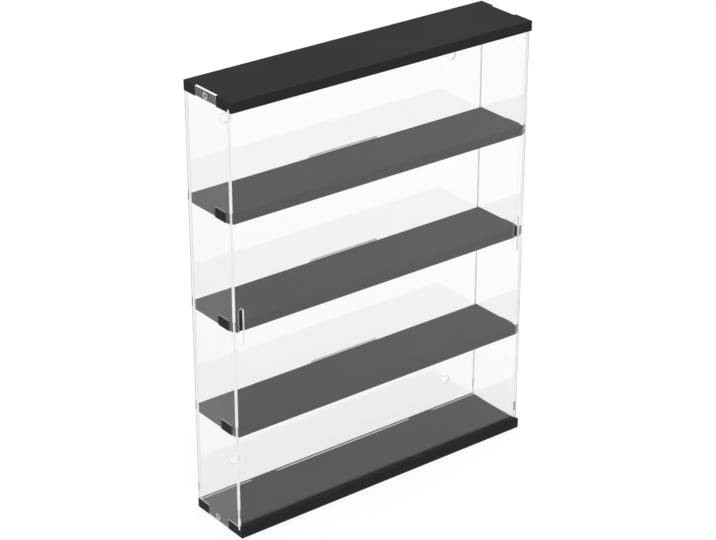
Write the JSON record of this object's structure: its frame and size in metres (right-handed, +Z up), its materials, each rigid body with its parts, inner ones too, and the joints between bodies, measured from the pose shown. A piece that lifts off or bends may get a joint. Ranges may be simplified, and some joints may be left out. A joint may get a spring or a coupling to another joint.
{
  "type": "trading card display case",
  "caption": "Shallow upright case with black shelves and clear walls, and a clear front panel that slides out sideways.",
  "frame": {"origin": "Middle of the base's underside, on the surface that the case stands on.", "axes": "X runs along the width, Y from the front to the back, Z up."},
  "size_m": [0.344, 0.073, 0.438],
  "materials": {
    "black_acrylic": "satin black cast acrylic sheet",
    "clear_acrylic": "clear cast acrylic sheet with polished edges",
    "steel_screws": "plain steel flat-head screws",
    "brass_inserts": "plain brass threaded inserts"
  },
  "bodies": {
    "case": {"base_panel": "black_acrylic", "top_panel": "black_acrylic", "left_side_panel": "clear_acrylic", "right_side_panel": "clear_acrylic", "back_panel": "clear_acrylic", "lower_shelf": "black_acrylic", "middle_shelf": "black_acrylic", "upper_shelf": "black_acrylic", "left_base_screw": "steel_screws", "left_top_screw": "steel_screws", "right_base_screw": "steel_screws", "right_top_screw": "steel_screws", "left_base_insert": "brass_inserts", "left_top_insert": "brass_inserts", "right_base_insert": "brass_inserts", "right_top_insert": "brass_inserts"},
    "sliding_front": {"front_panel": "clear_acrylic"}
  },
  "joints": [
    {"name": "front_panel_slide", "type": "slide", "parent": "case", "child": "sliding_front", "axis": [1, 0, 0], "range_m": [-0.36, 0.36]}
  ]
}
